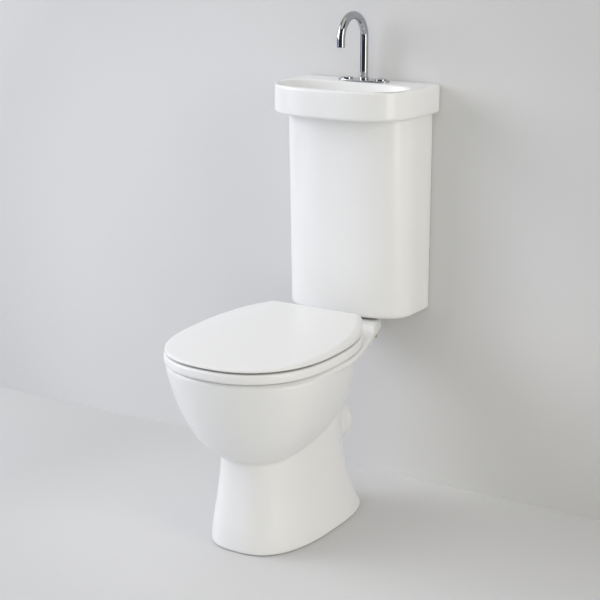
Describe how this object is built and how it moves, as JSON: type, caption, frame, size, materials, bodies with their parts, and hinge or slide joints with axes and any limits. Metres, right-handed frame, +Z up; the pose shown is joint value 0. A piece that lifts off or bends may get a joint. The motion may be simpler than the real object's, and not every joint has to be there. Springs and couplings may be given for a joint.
{
  "type": "close-coupled toilet with hand basin",
  "caption": "Close-coupled toilet whose cistern lid is a small hand basin with a gooseneck spout between two flush buttons; pan, seat, lid and working valves.",
  "frame": {"origin": "on the floor, under the middle of the suite's width and of its depth from the wall to the tip of the seat", "axes": "+Z up, -Y to the user at the front, +Y to the wall, which is the plane y = +0.3305; +X to the right as seen from the front"},
  "size_m": [0.352, 0.661, 1.0698],
  "materials": {
    "glazed_china": "gloss white glaze",
    "seat_plastic": "gloss white thermoset",
    "polished_chrome": "bright polished",
    "steel": "satin stainless",
    "pad_rubber": "pale matt",
    "black_rubber": "matt black",
    "hinge_plastic": "pale grey moulded",
    "brass": "plain turned",
    "valve_plastic": "white moulded",
    "stem_plastic": "grey blue moulded",
    "float_plastic": "blue moulded",
    "hose_plastic": "grey braided look",
    "outlet_plastic": "dark moulded"
  },
  "bodies": {
    "suite": {"pan": "glazed_china", "cistern_tank": "glazed_china", "basin": "glazed_china", "hinge_posts": "hinge_plastic", "hinge_pins": "steel", "hinge_bolts": "hinge_plastic", "hinge_bushes": "black_rubber", "hinge_nuts": "hinge_plastic", "tap_plate": "polished_chrome", "tap_spout": "polished_chrome", "spout_outlet": "outlet_plastic", "tap_washer": "black_rubber", "tap_back_nut": "brass", "spout_hose": "hose_plastic", "button_guides": "valve_plastic", "guide_nuts": "valve_plastic", "basin_waste": "polished_chrome", "waste_gasket": "black_rubber", "waste_nut": "valve_plastic", "coupling_gasket": "black_rubber", "cistern_bolts": "brass", "bolt_washers": "black_rubber", "wing_nuts": "brass", "flush_valve_body": "valve_plastic", "flush_valve_washer": "black_rubber", "flush_valve_nut": "valve_plastic", "rocker_pins": "steel", "fill_valve": "valve_plastic", "fill_valve_washer": "black_rubber", "inlet_nut": "valve_plastic", "fill_lever_pin": "steel", "full_button_spring": "steel", "half_button_spring": "steel"},
    "seat": {"seat": "seat_plastic", "seat_buffers": "pad_rubber"},
    "lid": {"lid": "seat_plastic", "lid_buffers": "pad_rubber"},
    "full_button": {"full_flush_button": "polished_chrome", "full_flush_rod": "valve_plastic"},
    "half_button": {"half_flush_button": "polished_chrome", "half_flush_rod": "valve_plastic"},
    "full_rocker": {"full_flush_rocker": "stem_plastic"},
    "half_rocker": {"half_flush_rocker": "stem_plastic"},
    "stem": {"overflow_stem": "stem_plastic", "flush_seal": "black_rubber"},
    "half_link": {"half_flush_link": "stem_plastic"},
    "float": {"fill_float": "float_plastic"},
    "fill_lever": {"fill_lever": "stem_plastic"}
  },
  "joints": [
    {"name": "seat_hinge", "type": "hinge", "parent": "suite", "child": "seat", "pos_m": [0, 0.0935, 0.4115], "axis": [-1, 0, 0], "range_deg": [0, 92]},
    {"name": "lid_hinge", "type": "hinge", "parent": "seat", "child": "lid", "pos_m": [0, 0.0935, 0.4115], "axis": [1, 0, 0], "range_deg": [-92, 0]},
    {"name": "full_press", "type": "slide", "parent": "suite", "child": "full_button", "axis": [0, 0, -1], "range_m": [0, 0.005], "stiffness_N_per_m": 300, "springref_m": -0.005, "deforming": ["full_button_spring"]},
    {"name": "half_press", "type": "slide", "parent": "suite", "child": "half_button", "axis": [0, 0, -1], "range_m": [0, 0.005], "stiffness_N_per_m": 300, "springref_m": -0.005, "deforming": ["half_button_spring"]},
    {"name": "full_rock", "type": "hinge", "parent": "suite", "child": "full_rocker", "pos_m": [0.03, 0.271, 0.7], "axis": [-1, 0, 0], "range_deg": [0, 13.2]},
    {"name": "stem_lift", "type": "slide", "parent": "suite", "child": "stem", "axis": [0, 0, 1], "range_m": [0, 0.007]},
    {"name": "half_rock", "type": "hinge", "parent": "suite", "child": "half_rocker", "pos_m": [-0.03, 0.271, 0.7], "axis": [-1, 0, 0], "range_deg": [0, 13.2]},
    {"name": "half_link_lift", "type": "slide", "parent": "suite", "child": "half_link", "axis": [0, 0, 1], "range_m": [0, 0.007]},
    {"name": "float_rise", "type": "slide", "parent": "suite", "child": "float", "axis": [0, 0, 1], "range_m": [0, 0.008]},
    {"name": "fill_rock", "type": "hinge", "parent": "suite", "child": "fill_lever", "pos_m": [-0.07, 0.2555, 0.668], "axis": [0, -1, 0], "range_deg": [0, 17.8]}
  ],
  "couplings": [
    {"joint": "full_rock", "follows": "full_press", "rad_per_m": 45.455},
    {"joint": "stem_lift", "follows": "full_press", "ratio": 1.3864},
    {"joint": "half_rock", "follows": "half_press", "rad_per_m": 45.455},
    {"joint": "half_link_lift", "follows": "half_press", "ratio": 1.3864},
    {"joint": "fill_rock", "follows": "float_rise", "rad_per_m": 38.462}
  ]
}
